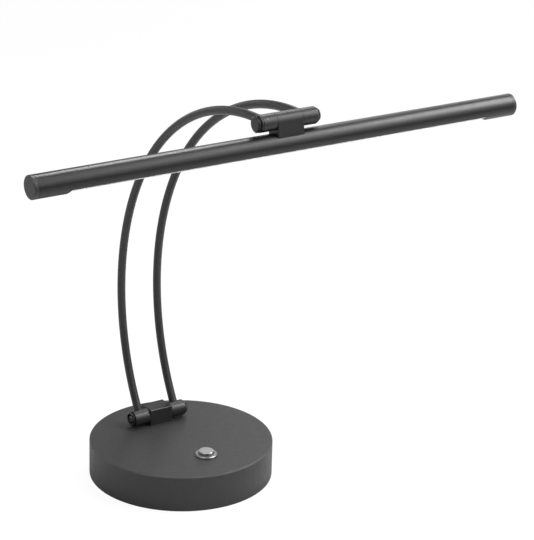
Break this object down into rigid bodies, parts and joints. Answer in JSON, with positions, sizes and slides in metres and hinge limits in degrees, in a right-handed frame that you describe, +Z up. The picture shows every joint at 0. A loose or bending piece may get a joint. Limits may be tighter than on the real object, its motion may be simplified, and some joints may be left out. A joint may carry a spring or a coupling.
{
  "type": "piano lamp",
  "caption": "LED piano lamp: round weighted base, two bowed arm rods between two friction hinges, and a long tube head with a flat opal underside.",
  "frame": {"origin": "centre of the base pad's underside, on the surface the lamp stands on", "axes": "+Z up, +X along the tube to the right, the front of the lamp is -Y"},
  "size_m": [0.5, 0.268, 0.4118],
  "materials": {
    "housing_coat": "fine-textured matt powder coat",
    "hinge_coat": "matt powder coat",
    "rod_coat": "matt powder coat on steel tube",
    "tube_coat": "matt powder coat on extruded aluminium",
    "cap_plastic": "matt moulded plastic",
    "cast_iron": "raw sand-cast",
    "plate_zinc": "zinc-plated steel",
    "steel_screw": "blackened steel",
    "steel_bright": "turned bright steel",
    "washer_nylon": "black nylon",
    "pad_rubber": "foamed rubber sheet",
    "grommet_rubber": "moulded rubber",
    "button_chrome": "polished chrome plate",
    "button_steel": "satin stainless steel",
    "switch_plastic": "moulded nylon",
    "lead_plastic": "extruded insulation",
    "board_laminate": "glass-fibre laminate with solder mask",
    "led_laminate": "white solder mask on aluminium",
    "led_resin": "phosphor resin",
    "carrier_aluminium": "plain extruded",
    "opal_plastic": "opal extrusion"
  },
  "bodies": {
    "base": {"base_cover": "housing_coat", "base_weight": "cast_iron", "weight_screws": "steel_screw", "base_plate": "plate_zinc", "base_plate_screws": "steel_screw", "base_pad": "pad_rubber", "cable_grommet": "grommet_rubber", "button_bezel": "button_chrome", "button_nut": "button_chrome", "button_spring": "steel_bright", "switch_housing": "switch_plastic", "switch_leads": "lead_plastic", "driver_board": "board_laminate", "board_standoffs": "plate_zinc", "board_screws": "steel_screw", "base_lead": "lead_plastic", "lower_hinge_block": "hinge_coat", "lower_hinge_screws": "steel_screw"},
    "button": {"button_cap": "button_steel"},
    "arm": {"left_arm_rod": "rod_coat", "right_arm_rod": "rod_coat", "lower_axle": "steel_bright", "lower_left_barrel": "hinge_coat", "lower_right_barrel": "hinge_coat", "lower_friction_washers": "washer_nylon", "lower_end_screws": "steel_screw", "lower_spring_washers": "steel_bright", "upper_axle": "steel_bright", "upper_left_barrel": "hinge_coat", "upper_right_barrel": "hinge_coat", "upper_friction_washers": "washer_nylon", "tension_nut": "hinge_coat", "disc_springs": "steel_bright", "upper_end_screw": "steel_screw", "upper_spring_washer": "steel_bright", "barrel_grub_screws": "steel_screw", "arm_lead": "lead_plastic"},
    "head": {"upper_hinge_block": "hinge_coat", "saddle_clamp_bar": "plate_zinc", "saddle_screws": "steel_screw", "head_tube": "tube_coat", "left_end_cap": "cap_plastic", "right_end_cap": "cap_plastic", "led_carrier": "carrier_aluminium", "led_board": "led_laminate", "led_chips": "led_resin", "led_board_screws": "steel_screw", "diffuser": "opal_plastic", "head_lead": "lead_plastic"}
  },
  "joints": [
    {"name": "arm_tilt", "type": "hinge", "parent": "base", "child": "arm", "pos_m": [0, 0.045, 0.0447], "axis": [1, 0, 0], "range_deg": [-20, 25]},
    {"name": "head_tilt", "type": "hinge", "parent": "arm", "child": "head", "pos_m": [0, -0.1632, 0.404], "axis": [1, 0, 0], "range_deg": [-60, 40]},
    {"name": "button_press", "type": "slide", "parent": "base", "child": "button", "axis": [0, 0, -1], "range_m": [0, 0.0012], "stiffness_N_per_m": 2500, "springref_m": -0.0008, "deforming": ["button_spring"]}
  ]
}
